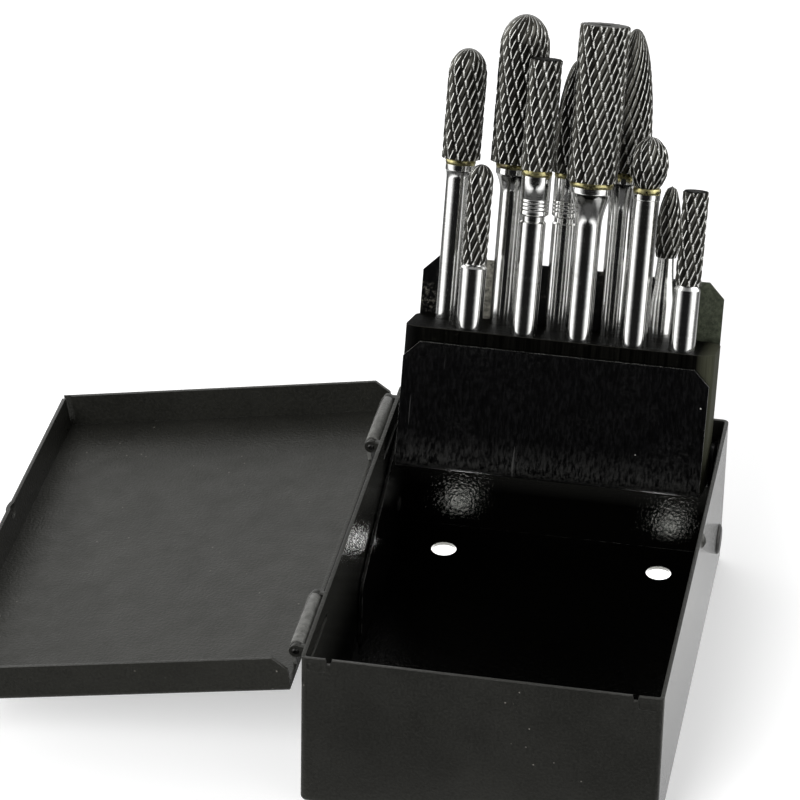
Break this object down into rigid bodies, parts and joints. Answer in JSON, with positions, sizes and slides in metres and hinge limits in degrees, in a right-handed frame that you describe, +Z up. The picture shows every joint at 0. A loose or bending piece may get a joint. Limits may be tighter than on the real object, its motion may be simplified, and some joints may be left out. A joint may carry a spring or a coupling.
{
  "type": "carbide burr set",
  "caption": "Rotary carbide burrs of mixed shapes on straight shanks, standing in a folding holder inside an open sheet-steel case with a side-hinged lid.",
  "frame": {"origin": "centre of the underside of the case", "axes": "+X to the right along the front wall, +Y to the back wall where the holder stands, +Z up; the lid hangs open on the -X side"},
  "size_m": [0.1699, 0.1545, 0.1376],
  "materials": {
    "case_finish": "fine-textured satin black enamel",
    "cheek_finish": "smooth black enamel",
    "bracket_finish": "mottled black oxide with bright cut edges",
    "block_fibre": "matte with fine upright saw marks",
    "fastener_steel": "blackened",
    "shank_steel": "ground bright",
    "carbide": "ground teeth, dark grey",
    "braze": "as brazed"
  },
  "bodies": {
    "case": {"case_body": "case_finish", "cheek_left": "cheek_finish", "cheek_right": "cheek_finish", "cheek_rivet_left": "fastener_steel", "cheek_rivet_right": "fastener_steel", "pivot_pin_left": "fastener_steel", "pivot_pin_right": "fastener_steel", "hinge_pin_front": "fastener_steel", "hinge_pin_back": "fastener_steel"},
    "lid": {"lid_shell": "case_finish"},
    "holder": {"holder_bracket": "bracket_finish", "holder_block": "block_fibre"},
    "burr_01": {"burr_01_shank": "shank_steel", "burr_01_head": "carbide", "burr_01_braze": "braze"},
    "burr_02": {"burr_02_shank": "shank_steel", "burr_02_head": "carbide"},
    "burr_03": {"burr_03_shank": "shank_steel", "burr_03_head": "carbide", "burr_03_braze": "braze"},
    "burr_04": {"burr_04_shank": "shank_steel", "burr_04_head": "carbide", "burr_04_braze": "braze"},
    "burr_05": {"burr_05_shank": "shank_steel", "burr_05_head": "carbide", "burr_05_braze": "braze"},
    "burr_06": {"burr_06_shank": "shank_steel", "burr_06_head": "carbide", "burr_06_braze": "braze"},
    "burr_07": {"burr_07_shank": "shank_steel", "burr_07_head": "carbide", "burr_07_braze": "braze"},
    "burr_08": {"burr_08_shank": "shank_steel", "burr_08_head": "carbide", "burr_08_braze": "braze"},
    "burr_09": {"burr_09_shank": "shank_steel", "burr_09_head": "carbide"},
    "burr_10": {"burr_10_shank": "shank_steel", "burr_10_head": "carbide"}
  },
  "joints": [
    {"name": "lid_hinge", "type": "hinge", "parent": "case", "child": "lid", "pos_m": [-0.04305, 0, 0.0379], "axis": [0, 1, 0], "range_deg": [0, 98]},
    {"name": "holder_pivot", "type": "hinge", "parent": "case", "child": "holder", "pos_m": [0, 0.0535, 0.0295], "axis": [1, 0, 0], "range_deg": [0, 110]},
    {"name": "burr_01_lift", "type": "slide", "parent": "holder", "child": "burr_01", "axis": [0, -0.342, -0.9397], "range_m": [-0.03, 0]},
    {"name": "burr_02_lift", "type": "slide", "parent": "holder", "child": "burr_02", "axis": [0, -0.342, -0.9397], "range_m": [-0.03, 0]},
    {"name": "burr_03_lift", "type": "slide", "parent": "holder", "child": "burr_03", "axis": [0, -0.342, -0.9397], "range_m": [-0.03, 0]},
    {"name": "burr_04_lift", "type": "slide", "parent": "holder", "child": "burr_04", "axis": [0, -0.342, -0.9397], "range_m": [-0.03, 0]},
    {"name": "burr_05_lift", "type": "slide", "parent": "holder", "child": "burr_05", "axis": [0, -0.342, -0.9397], "range_m": [-0.03, 0]},
    {"name": "burr_06_lift", "type": "slide", "parent": "holder", "child": "burr_06", "axis": [0, -0.342, -0.9397], "range_m": [-0.03, 0]},
    {"name": "burr_07_lift", "type": "slide", "parent": "holder", "child": "burr_07", "axis": [0, -0.342, -0.9397], "range_m": [-0.03, 0]},
    {"name": "burr_08_lift", "type": "slide", "parent": "holder", "child": "burr_08", "axis": [0, -0.342, -0.9397], "range_m": [-0.03, 0]},
    {"name": "burr_09_lift", "type": "slide", "parent": "holder", "child": "burr_09", "axis": [0, -0.342, -0.9397], "range_m": [-0.03, 0]},
    {"name": "burr_10_lift", "type": "slide", "parent": "holder", "child": "burr_10", "axis": [0, -0.342, -0.9397], "range_m": [-0.03, 0]}
  ]
}
